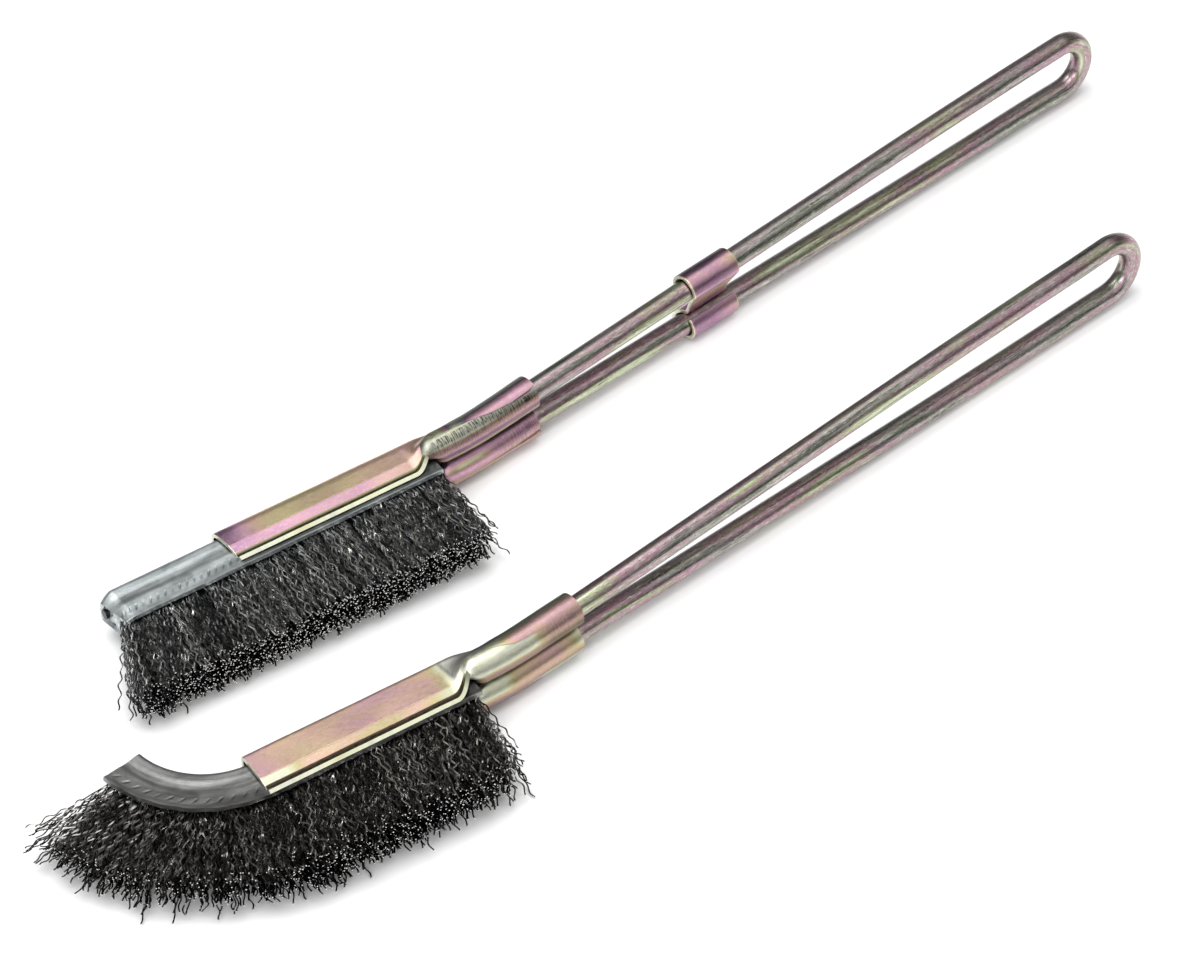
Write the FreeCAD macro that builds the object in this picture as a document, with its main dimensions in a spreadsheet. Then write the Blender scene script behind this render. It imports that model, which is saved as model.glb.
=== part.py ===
"""Two hand-held steel wire brushes for brake drums and callipers, lying side by side on a table.

Each brush is a strip of folded steel wires, a folded sheet-steel holder and a hairpin rod handle. The
straight brush has a flat strip and a clip across its handle; the curved brush has a strip whose tip is
bent away from its bristles.
"""
import FreeCAD, Part
import math
import os
import re

Vector = FreeCAD.Vector
Rotation = FreeCAD.Rotation
Placement = FreeCAD.Placement

X_AXIS = Vector(1, 0, 0)
Y_AXIS = Vector(0, 1, 0)
Z_AXIS = Vector(0, 0, 1)
LEVEL = Rotation()

# ---------------------------------------------------------------------------------------------------
# Driving dimensions, in millimetres and degrees.
#
# Each brush is drawn in its own brush frame: x along the strip towards the handle, from the front end
# of the holder; y away from the bristles, from the back of the strip; z across the brush's thickness.
# ---------------------------------------------------------------------------------------------------
DIMENSIONS = [
    ("rod_radius", 2.0, "handle rod"),
    ("rod_front", 43.5, "front end of each leg, inside its sleeve"),
    ("rod_lead", 0.5, "straight start of each leg"),
    ("rod_depth", 3.05, "leg axes below the strip's back"),
    ("crank_radius", 60.0, "bend from the head's line to the handle's line"),
    ("crank_angle", 8.3, "angle between head and handle"),
    ("rod_grip", 11.5, "straight length from the crank to the spread"),
    ("leg_spacing", 6.5, "between the leg axes inside the sleeves"),
    ("spread_radius", 40.0, "bend where the legs begin to part"),
    ("straight_spread", 1.4, "angle of each leg of the straight brush to the handle's line"),
    ("curved_spread", 1.7, "the same for the curved brush"),
    ("straight_leg", 82.4, "straight, parting length of each leg of the straight brush"),
    ("curved_leg", 70.5, "the same for the curved brush"),
    ("return_radius", 1700.0, "gentle bend back to parallel"),
    ("loop_lead", 5.0, "parallel length before the loop"),
    ("strip_width", 6.4, "outside width of the strip channel"),
    ("strip_depth", 8.1, "strip channel, back to mouth"),
    ("strip_sheet", 0.8, "sheet of the strip channel"),
    ("strip_corner", 1.2, "outside corners of the strip's back"),
    ("strip_rear", 41.0, "rear end of both strips"),
    ("strip_front", 23.2, "length of the straight strip ahead of the holder"),
    ("bend_start", 1.0, "where the curved strip begins to bend, just inside the holder"),
    ("bend_radius", 14.2, "bend radius at the curved strip's back"),
    ("bend_angle", 79.0, "how far the curved strip turns away from its bristles"),
    ("core_radius", 0.9, "wire that the bristles are folded round"),
    ("core_depth", 2.2, "core wire's axis below the strip's back"),
    ("holder_sheet", 1.0, "sheet of the holder"),
    ("holder_gap", 0.1, "room between holder and strip"),
    ("holder_corner", 2.2, "outside corners of the holder's back"),
    ("holder_length", 39.5, "channel of the holder"),
    ("holder_depth", 6.8, "reach of the holder's walls below the strip's back"),
    ("neck_rear", 46.0, "rear end of the plate that joins the channel to the sleeves"),
    ("sleeve_front", 43.0, "front end of the sleeves"),
        ("rod_gap", 0.05, "room between rod and sleeve"),
    ("sleeve_wall", 1.3, "wall of a sleeve, so that the two sleeves merge where they touch"),
    ("tuft_root", 4.6, "width of the bristles where they leave the channel"),
    ("tuft_tip", 10.2, "width of the bristles at their tips"),
    ("tuft_reach", 16.4, "bristle length outside the channel"),
    ("tuft_steel", 0.8, "steel thickness of one row of wires"),
    ("tuft_fan", 1.4, "the same at the tips of a row round the bend"),
    ("root_gap", 0.1, "room between the folded wires and the channel"),
    ("tuft_overlap", 0.3, "how far a row of wires starts inside its root"),
    ("fan_factor", 1.2, "how much wider than the bend the bristles fan out"),
    ("bundle_gap", 0.2, "room between two bundles"),
    ("clip_sheet", 0.7, "sheet of the clip"),
    ("clip_gap", 0.25, "room between clip and legs"),
    ("clip_length", 10.8, "clip, along the legs"),
    ("clip_front", 100.3, "front end of the clip, measured along a leg's middle line"),
    ("near_curl", 190.0, "wrap of the clip round the upper leg"),
    ("far_curl", 230.0, "wrap of the clip round the lower leg"),
    ("rest_roll", 0.9, "lean that rests the bristle tips on the table"),
    ("rest_pitch", -0.5, "lean that rests the sleeves on the table"),
    ("curved_x", -22.7, "curved brush's holder from the straight one's, along the strip"),
    ("curved_y", -47.0, "the same, towards the bristles"),
    ("curved_yaw", -0.4, "turn of the curved brush on the table"),
]

STRAIGHT_BUNDLES = 8
FLAT_BUNDLES = 5
BENT_BUNDLES = 4
TUFTS = 4

doc = FreeCAD.newDocument("wire_drum_brushes")
dims = doc.addObject("Spreadsheet::Sheet", "Dims")
for row, (alias, number, note) in enumerate(DIMENSIONS, start=1):
    dims.set(f"A{row}", alias)
    dims.set(f"B{row}", str(number))
    dims.set(f"C{row}", note)
    dims.setAlias(f"B{row}", alias)
doc.recompute()
ALIASES = {alias for alias, _, _ in DIMENSIONS}


def size(alias):
    """One driving dimension, as a number."""
    return float(dims.get(alias))


def expression(text):
    """The same text with every alias pointing at the sheet."""
    return re.sub(r"[a-z_]+", lambda word: f"Dims.{word[0]}" if word[0] in ALIASES else word[0], text)


# ---------------------------------------------------------------------------------------------------
# Document objects with sizes bound to the sheet
# ---------------------------------------------------------------------------------------------------
def make(kind, name, placement=None, **sizes):
    obj = doc.addObject(kind, name)
    obj.Label = name
    for prop, text in sizes.items():
        obj.setExpression(prop, expression(text))
    if placement:
        obj.Placement = placement
    return obj


def box(name, corner, length, width, height):
    return make("Part::Box", name, Placement(corner, LEVEL), Length=length, Width=width, Height=height)


def slice_of_cylinder(name, place, radius, height, angle):
    return make("Part::Cylinder", name, place, Radius=radius, Height=height, Angle=angle)


def cut(name, base, tool):
    obj = make("Part::Cut", name)
    obj.Base = base
    obj.Tool = tool
    return obj


def fuse(name, shapes):
    obj = make("Part::MultiFuse", name)
    obj.Shapes = shapes
    return obj


def round_back(name, base, is_back_edge, radius):
    """Round the long outside edges of a channel's back."""
    doc.recompute()
    obj = make("Part::Fillet", name)
    obj.Base = base
    chosen = [number for number, edge in enumerate(base.Shape.Edges, start=1) if is_back_edge(edge)]
    obj.Edges = [(number, size(radius), size(radius)) for number in chosen]
    return obj


class Route:
    """A path of straight runs and tangent arcs, walked from its start."""

    def __init__(self, start, heading):
        self.start = start
        self.point = start
        self.heading = heading
        self.edges = []

    def line(self, length):
        end = self.point + self.heading * length
        self.edges.append(Part.LineSegment(self.point, end).toShape())
        self.point = end

    def arc(self, radius, angle, axis):
        """Turn about an axis at right angles to the heading; positive is right-handed."""
        side = axis.cross(self.heading) * math.copysign(1, angle)
        centre = self.point + side * radius
        spoke = self.point - centre
        middle = centre + Rotation(axis, angle / 2).multVec(spoke)
        end = centre + Rotation(axis, angle).multVec(spoke)
        self.edges.append(Part.Arc(self.point, middle, end).toShape())
        self.point = end
        self.heading = Rotation(axis, angle).multVec(self.heading)


def rod(name, route, radius):
    """A round bar along a route that sets out along x."""
    path = make("Part::Feature", f"{name}_path")
    path.Shape = Part.Wire(route.edges)
    place = Placement(route.start, Rotation(Z_AXIS, X_AXIS))
    section = make("Part::Circle", f"{name}_section", place, Radius=radius)
    obj = make("Part::Sweep", name)
    obj.Sections = [section]
    obj.Spine = (path, [f"Edge{number}" for number in range(1, len(route.edges) + 1)])
    obj.Solid = True
    obj.Transition = "Right corner"
    return obj


# ---------------------------------------------------------------------------------------------------
# Handle: a hairpin rod. Both legs lie against the holder's web, bend away from the bristles behind the
# head, part a little and meet in the hanging loop.
# ---------------------------------------------------------------------------------------------------
def leg_axis(side, front):
    """A point on the straight front of the upper (+1) or lower (-1) leg's axis."""
    return Vector(front, -size("rod_depth"), side * size("leg_spacing") / 2)


def handle(name, spread, leg):
    """A hairpin whose legs part at `spread` degrees along `leg` millimetres."""
    crank = size("crank_angle")
    route = Route(leg_axis(1, size("rod_front")), X_AXIS)
    route.line(size("rod_lead"))
    route.arc(size("crank_radius"), crank, Z_AXIS)
    route.line(size("rod_grip"))
    across = route.heading.cross(Z_AXIS)
    route.arc(size("spread_radius"), spread, across)
    route.line(leg)
    route.arc(size("return_radius"), -spread, across)
    route.line(size("loop_lead"))
    route.arc(route.point.z, -180, across)
    route.line(size("loop_lead"))
    route.arc(size("return_radius"), -spread, across)
    route.line(leg)
    route.arc(size("spread_radius"), spread, across)
    route.line(size("rod_grip"))
    route.arc(size("crank_radius"), -crank, Z_AXIS)
    route.line(size("rod_lead"))
    return rod(name, route, "rod_radius")


# ---------------------------------------------------------------------------------------------------
# Holder: a channel round the strip, a short neck plate, and a sleeve round each leg
# ---------------------------------------------------------------------------------------------------
def sleeve(name, side, overrun, radius):
    """A round bar along the gripped part of one leg, `overrun` longer at each end."""
    front = size("sleeve_front") - overrun
    lead = size("rod_front") + size("rod_lead") - front
    route = Route(leg_axis(side, front), X_AXIS)
    route.line(lead)
    route.arc(size("crank_radius"), size("crank_angle"), Z_AXIS)
    route.line(size("rod_grip") + overrun)
    return rod(name, route, radius)


def holder(name):
    wall = size("holder_gap") + size("holder_sheet")
    half = size("strip_width") / 2 + wall
    low = Vector(0, -size("holder_depth"), -half)
    outer_width = "strip_width + 2 * holder_gap + 2 * holder_sheet"
    outer_depth = "holder_depth + holder_gap + holder_sheet"
    block = box(f"{name}_block", low, "holder_length", outer_depth, outer_width)
    back = wall - 0.01

    def is_back_corner(edge):
        along = edge.tangentAt(edge.FirstParameter).cross(X_AXIS).Length < 0.1
        return along and all(vertex.Point.y > back for vertex in edge.Vertexes)

    rounded = round_back(f"{name}_rounded", block, is_back_corner, "holder_corner")
    plate_corner = Vector(size("holder_length"), size("holder_gap"), -size("strip_width") / 2)
    plate = box(f"{name}_plate", plate_corner, "neck_rear - holder_length", "holder_sheet", "strip_width")
    sides = (("upper", 1), ("lower", -1))
    sleeves = [sleeve(f"{name}_{word}_sleeve", side, 0, "rod_radius + sleeve_wall") for word, side in sides]
    body = fuse(f"{name}_body", [rounded, plate] + sleeves)
    inside = Vector(-1, -size("holder_depth") - 1, -half + size("holder_sheet"))
    hollow = box(
        f"{name}_hollow",
        inside,
        "holder_length + 1",
        "holder_depth + holder_gap + 1",
        "strip_width + 2 * holder_gap",
    )
    bores = [sleeve(f"{name}_{word}_bore", side, 1, "rod_radius + rod_gap") for word, side in sides]
    return cut(name, body, fuse(f"{name}_space", [hollow] + bores))


# ---------------------------------------------------------------------------------------------------
# Strip: a channel whose mouth faces the bristles. The curved one bends away from them ahead of the
# holder, round an axis along z.
# ---------------------------------------------------------------------------------------------------
def bend_centre(height):
    return Vector(size("bend_start"), size("bend_radius"), height)


def ring(name, turn, low, inner, outer, thickness, angle):
    """A slice of a flat ring round the bend, from `turn` degrees round it back towards its start."""
    place = Placement(bend_centre(low), Rotation(Z_AXIS, 270 - turn))
    disc = slice_of_cylinder(f"{name}_disc", place, outer, thickness, angle)
    hole = slice_of_cylinder(f"{name}_hole", place, inner, thickness, angle)
    return cut(name, disc, hole)


def on_strip_back(point):
    """Whether a point lies on one of the strip's two long back corners, flat or bent."""
    centre = bend_centre(point.z)
    beside = abs(abs(point.z) - size("strip_width") / 2) < 0.01
    flat = abs(point.y) < 0.01
    bent = point.x < centre.x and abs(point.distanceToPoint(centre) - size("bend_radius")) < 0.01
    return beside and (flat or bent)


def is_strip_back(edge):
    middle = edge.valueAt((edge.FirstParameter + edge.LastParameter) / 2)
    return all(on_strip_back(point) for point in [middle] + [vertex.Point for vertex in edge.Vertexes])


def straight_strip(name):
    half = size("strip_width") / 2
    front = -size("strip_front")
    length = "strip_front + strip_rear"
    corner = Vector(front, -size("strip_depth"), -half)
    block = box(f"{name}_block", corner, length, "strip_depth", "strip_width")
    rounded = round_back(f"{name}_rounded", block, is_strip_back, "strip_corner")
    return cut(name, rounded, groove(f"{name}_groove", front - 1, f"{length} + 2"))


def groove(name, front, length):
    """The space inside the flat part of a strip."""
    low = Vector(front, -size("strip_depth") - 1, size("strip_sheet") - size("strip_width") / 2)
    return box(name, low, length, "strip_depth - strip_sheet + 1", "strip_width - 2 * strip_sheet")


def curved_strip(name):
    half = size("strip_width") / 2
    turn = size("bend_angle")
    front = size("bend_start")
    length = "strip_rear - bend_start"
    mouth = "bend_radius + strip_depth"
    corner = Vector(front, -size("strip_depth"), -half)
    flat = box(f"{name}_flat", corner, length, "strip_depth", "strip_width")
    bend = ring(f"{name}_bend", turn, -half, "bend_radius", mouth, "strip_width", "bend_angle")
    block = fuse(f"{name}_block", [flat, bend])
    rounded = round_back(f"{name}_rounded", block, is_strip_back, "strip_corner")
    low = size("strip_sheet") - half
    inner_radius = "bend_radius + strip_sheet"
    inner_width = "strip_width - 2 * strip_sheet"
    bend_space = ring(f"{name}_hollow", turn, low, inner_radius, f"{mouth} + 1", inner_width, "bend_angle")
    flat_space = groove(f"{name}_groove", front, f"{length} + 1")
    return cut(name, rounded, fuse(f"{name}_space", [flat_space, bend_space]))


# ---------------------------------------------------------------------------------------------------
# Core wire: lies along the strip, inside the fold of every bristle
# ---------------------------------------------------------------------------------------------------
def core(name, radius, bent, overrun=0.0):
    route = Route(Vector(size("strip_rear") + overrun, -size("core_depth"), 0), -X_AXIS)
    if bent:
        route.line(size("strip_rear") + overrun - size("bend_start"))
        route.arc(size("bend_radius") + size("core_depth"), -size("bend_angle"), Z_AXIS)
    else:
        route.line(size("strip_rear") + size("strip_front") + 2 * overrun)
    return rod(name, route, radius)


# ---------------------------------------------------------------------------------------------------
# Bristles: each bundle is a root block of folded wires inside the channel and a few rows of wires, as
# thick as the steel in them, that widen towards the tips
# ---------------------------------------------------------------------------------------------------
def tuft(name, root, direction, tip_thickness):
    """A row of wires from `root`, pointing at `direction` degrees in the brush's xy-plane."""
    return make(
        "Part::Wedge",
        name,
        Placement(root, Rotation(Z_AXIS, direction - 90)),
        Xmin="-tuft_steel / 2",
        Xmax="tuft_steel / 2",
        Ymin="0 mm",
        Ymax="tuft_reach + tuft_overlap",
        Zmin="-tuft_root / 2",
        Zmax="tuft_root / 2",
        X2min=f"-{tip_thickness} / 2",
        X2max=f"{tip_thickness} / 2",
        Z2min="-tuft_tip / 2",
        Z2max="tuft_tip / 2",
    )


def flat_bundle(name, front, length, core_space):
    """A bundle on a straight stretch of strip. Its length is an expression, `front` a number."""
    depth = size("strip_depth")
    root = box(
        f"{name}_root",
        Vector(front, -depth, -size("tuft_root") / 2),
        f"{length} - bundle_gap",
        "strip_depth - strip_sheet - root_gap",
        "tuft_root",
    )
    doc.recompute()
    pitch = (root.Length.Value + size("bundle_gap")) / TUFTS
    rows = []
    for number in range(TUFTS):
        middle = front + (number + 0.5) * pitch - size("bundle_gap") / 2
        foot = Vector(middle, size("tuft_overlap") - depth, 0)
        rows.append(tuft(f"{name}_row_{number + 1}", foot, 270, "tuft_steel"))
    return cut(name, fuse(f"{name}_wires", [root] + rows), core_space)


def bent_bundle(name, turn, core_space):
    """A bundle round the bend, whose far side is `turn` degrees round it."""
    share = size("bend_angle") / BENT_BUNDLES
    mouth = "bend_radius + strip_depth"
    inner = "bend_radius + strip_sheet + root_gap"
    low = -size("tuft_root") / 2
    span = f"bend_angle / {BENT_BUNDLES} - 0.5"
    root = ring(f"{name}_root", turn, low, inner, mouth, "tuft_root", span)
    foot_radius = size("bend_radius") + size("strip_depth") - size("tuft_overlap")
    rows = []
    for number in range(TUFTS):
        along = turn - (number + 0.5) * share / TUFTS
        foot = bend_centre(0) + Rotation(Z_AXIS, 270 - along).multVec(X_AXIS) * foot_radius
        direction = 270 - along * size("fan_factor")
        rows.append(tuft(f"{name}_row_{number + 1}", foot, direction, "tuft_fan"))
    return cut(name, fuse(f"{name}_wires", [root] + rows), core_space)


def straight_bristles():
    space = core("straight_core_space", "core_radius + rod_gap", False, 1.0)
    length = f"(strip_front + strip_rear) / {STRAIGHT_BUNDLES}"
    step = (size("strip_front") + size("strip_rear")) / STRAIGHT_BUNDLES
    fronts = [number * step - size("strip_front") for number in range(STRAIGHT_BUNDLES)]
    return [
        flat_bundle(f"straight_bristles_{number}", front + size("bundle_gap") / 2, length, space)
        for number, front in enumerate(fronts, start=1)
    ]


def curved_bristles():
    space = core("curved_core_space", "core_radius + rod_gap", True)
    share = size("bend_angle") / BENT_BUNDLES
    bundles = [
        bent_bundle(f"curved_bristles_{number + 1}", size("bend_angle") - number * share, space)
        for number in range(BENT_BUNDLES)
    ]
    length = f"(strip_rear - bend_start) / {FLAT_BUNDLES}"
    step = (size("strip_rear") - size("bend_start")) / FLAT_BUNDLES
    for number in range(FLAT_BUNDLES):
        front = size("bend_start") + number * step + size("bundle_gap") / 2
        bundles.append(flat_bundle(f"curved_bristles_{BENT_BUNDLES + number + 1}", front, length, space))
    return bundles


# ---------------------------------------------------------------------------------------------------
# Clip: an S of sheet. Its web runs from the bristle side of the upper leg to the back of the lower leg;
# one curl goes over the upper leg, the other under the lower leg. It is made along its own z, with x
# towards the upper leg and y towards the bristles.
# ---------------------------------------------------------------------------------------------------
def curl(name, centre, start, wrap):
    place = Placement(centre, Rotation(Z_AXIS, start))
    bore = "rod_radius + clip_gap"
    outer = slice_of_cylinder(f"{name}_outer", place, f"{bore} + clip_sheet", "clip_length", wrap)
    inner = slice_of_cylinder(f"{name}_inner", place, bore, "clip_length", wrap)
    return cut(name, outer, inner)


def clip(name):
    spread = math.radians(size("straight_spread"))
    crank = size("crank_angle")
    crank_end = size("rod_front") + size("rod_lead") + size("crank_radius") * math.radians(crank)
    parting = crank_end + size("rod_grip")
    middle = size("clip_front") + size("clip_length") / 2
    half_gap = size("leg_spacing") / 2 + (middle - parting) * math.sin(spread)
    sheet_radius = size("rod_radius") + size("clip_gap") + size("clip_sheet") / 2
    lean = math.degrees(math.asin(sheet_radius / half_gap))
    web_length = 2 * math.sqrt(half_gap**2 - sheet_radius**2)
    near = curl(f"{name}_near_curl", Vector(half_gap, 0, 0), 90 + lean - size("near_curl"), "near_curl")
    far = curl(f"{name}_far_curl", Vector(-half_gap, 0, 0), lean - 90 - size("far_curl"), "far_curl")
    web = make("Part::Box", f"{name}_web", Width="clip_sheet", Height="clip_length")
    web.Length = web_length
    turn = Rotation(Z_AXIS, lean)
    web.Placement = Placement(turn.multVec(Vector(-web_length / 2, -size("clip_sheet") / 2, 0)), turn)
    obj = fuse(name, [near, far, web])
    knee = leg_axis(0, size("rod_front") + size("rod_lead"))
    chord = 2 * size("crank_radius") * math.sin(math.radians(crank / 2))
    knee += Rotation(Z_AXIS, crank / 2).multVec(X_AXIS) * chord
    along = Rotation(Z_AXIS, crank).multVec(X_AXIS)
    frame = Rotation(Z_AXIS, along.cross(Z_AXIS), along, "ZXY")
    obj.Placement = Placement(knee + along * (size("clip_front") - crank_end), frame)
    return obj


# ---------------------------------------------------------------------------------------------------
# The two brushes
# ---------------------------------------------------------------------------------------------------
straight_brush = [
    handle("straight_handle", size("straight_spread"), size("straight_leg")),
    holder("straight_holder"),
    clip("straight_clip"),
    straight_strip("straight_strip"),
    core("straight_core_wire", "core_radius", False),
] + straight_bristles()

curved_brush = [
    handle("curved_handle", size("curved_spread"), size("curved_leg")),
    holder("curved_holder"),
    curved_strip("curved_strip"),
    core("curved_core_wire", "core_radius", True),
] + curved_bristles()

doc.recompute()


def lay_down(nodes, x, y, yaw):
    """Turn a brush as it rests on the table, and lower it on to z = 0."""
    lean = Rotation(Y_AXIS, size("rest_pitch")).multiply(Rotation(X_AXIS, size("rest_roll")))
    place = Placement(Vector(x, y, 0), Rotation(Z_AXIS, yaw).multiply(lean))
    move(nodes, place)
    move(nodes, Placement(Vector(0, 0, -bounds(nodes).ZMin), LEVEL))


def move(nodes, place):
    for node in nodes:
        node.Placement = place.multiply(node.Placement)
    doc.recompute()


def bounds(nodes):
    total = FreeCAD.BoundBox()
    for node in nodes:
        total.add(node.Shape.optimalBoundingBox())
    return total


lay_down(straight_brush, 0, 0, 0)
lay_down(curved_brush, size("curved_x"), size("curved_y"), size("curved_yaw"))
everything = straight_brush + curved_brush
whole = bounds(everything)
move(everything, Placement(Vector(-whole.Center.x, -whole.Center.y, 0), LEVEL))

# ---------------------------------------------------------------------------------------------------
# Checks and files
# ---------------------------------------------------------------------------------------------------
for obj in doc.Objects:
    if "Invalid" in obj.State or "Error" in obj.State:
        raise RuntimeError(f"{obj.Label} failed: {obj.State}")
os.makedirs("parts", exist_ok=True)
for node in everything:
    shape = node.Shape
    if shape.isNull() or not shape.isValid() or len(shape.Solids) != 1:
        raise RuntimeError(f"{node.Label} is not one valid solid")
    shape.exportStep(f"parts/{node.Label}.step")
    print(f"{node.Label:24} {shape.Volume:9.1f} mm3")
whole = bounds(everything)
print(f"whole: {whole.XLength:.2f} x {whole.YLength:.2f} x {whole.ZLength:.2f} mm, lowest {whole.ZMin:.3f}")
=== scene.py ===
"""Two steel wire brushes on a pale table: detailed sheet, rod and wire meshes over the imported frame."""
import bpy
import math
import numpy as np
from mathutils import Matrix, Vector


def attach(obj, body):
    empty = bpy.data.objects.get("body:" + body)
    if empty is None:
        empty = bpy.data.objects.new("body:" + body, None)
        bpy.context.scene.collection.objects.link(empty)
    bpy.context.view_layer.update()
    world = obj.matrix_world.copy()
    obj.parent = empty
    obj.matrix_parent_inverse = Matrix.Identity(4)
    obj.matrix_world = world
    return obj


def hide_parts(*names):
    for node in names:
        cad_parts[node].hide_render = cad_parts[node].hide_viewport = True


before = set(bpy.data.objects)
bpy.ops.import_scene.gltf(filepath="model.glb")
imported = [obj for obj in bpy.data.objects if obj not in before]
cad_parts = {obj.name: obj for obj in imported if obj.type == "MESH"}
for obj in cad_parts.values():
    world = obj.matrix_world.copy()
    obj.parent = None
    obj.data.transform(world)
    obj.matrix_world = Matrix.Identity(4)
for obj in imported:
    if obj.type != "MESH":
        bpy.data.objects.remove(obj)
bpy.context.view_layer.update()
rng = np.random.default_rng(11)

# --- The CAD model's dimensions, in millimetres and degrees; ROD is a radius ---
ROD = 2.0
ROD_FRONT, ROD_LEAD, ROD_DEPTH = 43.5, 0.5, 3.05
CRANK_RADIUS, CRANK, ROD_GRIP = 60.0, 8.3, 11.5
SPACING, SPREAD_RADIUS, RETURN_RADIUS, LOOP_LEAD = 6.5, 40.0, 1700.0, 5.0
STRIP_HALF, STRIP_DEPTH, STRIP_SHEET = 3.2, 8.1, 0.8
STRIP_FRONT, STRIP_REAR = -23.2, 41.0
BEND_START, BEND_RADIUS, BEND_ANGLE = 1.0, 14.2, 79.0
HOLDER_SHEET, HOLDER_GAP = 1.0, 0.1
HOLDER_BACK = HOLDER_GAP + HOLDER_SHEET
HOLDER_HALF = STRIP_HALF + HOLDER_BACK
REACH = 16.4
ROLL, PITCH = 0.9, -0.5
CLIP_FRONT, CLIP_LENGTH, CLIP_SHEET, CLIP_GAP = 100.3, 10.8, 0.7, 0.25

# --- What this script adds, in millimetres and degrees; WIRE is a radius ---
WIRE, WIRE_SIDES, WIRE_POINTS = 0.135, 4, 44
WIRES_PER_MM = {"straight": 46, "curved": 34}
ROOT_DEPTH, ROOT_HALF = STRIP_DEPTH - 1.4, 2.15
MOUTH_DEPTH = STRIP_DEPTH + 1.0
BRIGHT_ENDS = 0.62
TABLE_GAP = 0.25
ROD_SIDES, ARC_STEP = 40, 1.5
STRIP_POINTS, STRIP_STEP = 141, 0.14
DIMPLE_ROW, DIMPLE_PITCH = 6.3, 1.42
FLAP_SHEET, FLAP_LOW = 0.8, 8.0
FLAP_HIGH = {"near": 150, "far": 200}

# The table and the camera's distance in metres
FLOOR_HALF, FLOOR_DROP = 3.0, 0.0002
AZIMUTH, ELEVATION, DISTANCE = -33.87, 45.0, 1.0
SENSOR, LENS = 36.0, 175.3

UP = np.array([0.0, 0.0, 1.0])


def turn_about(axis, degrees):
    """Rotation about x, y or z, numbered 0, 1 and 2."""
    i, j = (axis + 1) % 3, (axis + 2) % 3
    angle = math.radians(degrees)
    turn = np.eye(3)
    turn[i, i] = turn[j, j] = math.cos(angle)
    turn[i, j], turn[j, i] = -math.sin(angle), math.sin(angle)
    return turn


class Brush:
    """One brush's own frame: x along the strip towards the handle, y away from the bristles, z across."""

    def __init__(self, name, yaw, spread, leg, curved):
        self.name = name
        self.body = f"{name}_brush"
        self.curved = curved
        self.spread = spread
        self.leg = leg
        self.turn = turn_about(2, yaw) @ turn_about(1, PITCH) @ turn_about(0, ROLL)
        self.front = BEND_START - math.radians(BEND_ANGLE) * BEND_RADIUS if curved else STRIP_FRONT
        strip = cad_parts[f"{name}_strip"]
        points = np.array([vertex.co for vertex in strip.data.vertices]) * 1000 @ self.turn
        low, high = points.min(0), points.max(0)
        self.shift = np.array([high[0] - STRIP_REAR, low[1] + STRIP_DEPTH, (low[2] + high[2]) / 2])

    def world(self, points):
        return (np.asarray(points) + self.shift) @ self.turn.T / 1000

    def head(self, along, depth, across):
        """A point on the head, `depth` below the strip's back, `along` measured on that back."""
        along, depth, across = np.broadcast_arrays(along, depth, across)
        x, y = along.astype(float), -depth.astype(float)
        if self.curved:
            turn = np.maximum(BEND_START - along, 0) / BEND_RADIUS
            radius = BEND_RADIUS + depth
            x = np.where(turn > 0, BEND_START - radius * np.sin(turn), x)
            y = np.where(turn > 0, BEND_RADIUS - radius * np.cos(turn), y)
        return np.stack([x, y, across], -1)


straight = Brush("straight", 0.0, 1.4, 82.4, False)
curved = Brush("curved", -0.4, 1.7, 70.5, True)


# --- Meshes ---
def add_object(name, data):
    made = bpy.data.objects.new(name, data)
    bpy.context.scene.collection.objects.link(made)
    return made


def add_piece(name, brush, mesh, nodes):
    """An object that rides on its brush and stands for the CAD nodes named."""
    piece = add_object(name, mesh)
    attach(piece, brush.body)
    if nodes:
        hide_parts(*nodes)
    return piece


def store(mesh, values):
    """Numbers at each vertex, for the materials to read."""
    for key, numbers in values.items():
        layer = mesh.attributes.new(key, "FLOAT", "POINT")
        layer.data.foreach_set("value", np.asarray(numbers, dtype=np.float32).ravel())


def add_mesh(name, brush, points, faces, material, nodes, values, sharp):
    """A piece made from points in the brush's frame."""
    mesh = bpy.data.meshes.new(name)
    mesh.from_pydata(brush.world(points).tolist(), [], faces)
    store(mesh, values)
    mesh.shade_smooth()
    mesh.set_sharp_from_angle(angle=math.radians(sharp))
    mesh.materials.append(material)
    return add_piece(name, brush, mesh, nodes)


def quads(rows, columns, base, flip):
    """Faces of a rows x columns grid of points."""
    faces = []
    for i in range(rows - 1):
        for j in range(columns - 1):
            a = base + i * columns + j
            face = (a, a + columns, a + columns + 1, a + 1)
            faces.append(face[::-1] if flip else face)
    return faces


def unit(vectors):
    return vectors / np.maximum(np.linalg.norm(vectors, axis=-1, keepdims=True), 1e-9)


def grid_normals(grid):
    across = np.gradient(grid, axis=1)
    along = np.gradient(grid, axis=0)
    return unit(np.cross(along, across))


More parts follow.
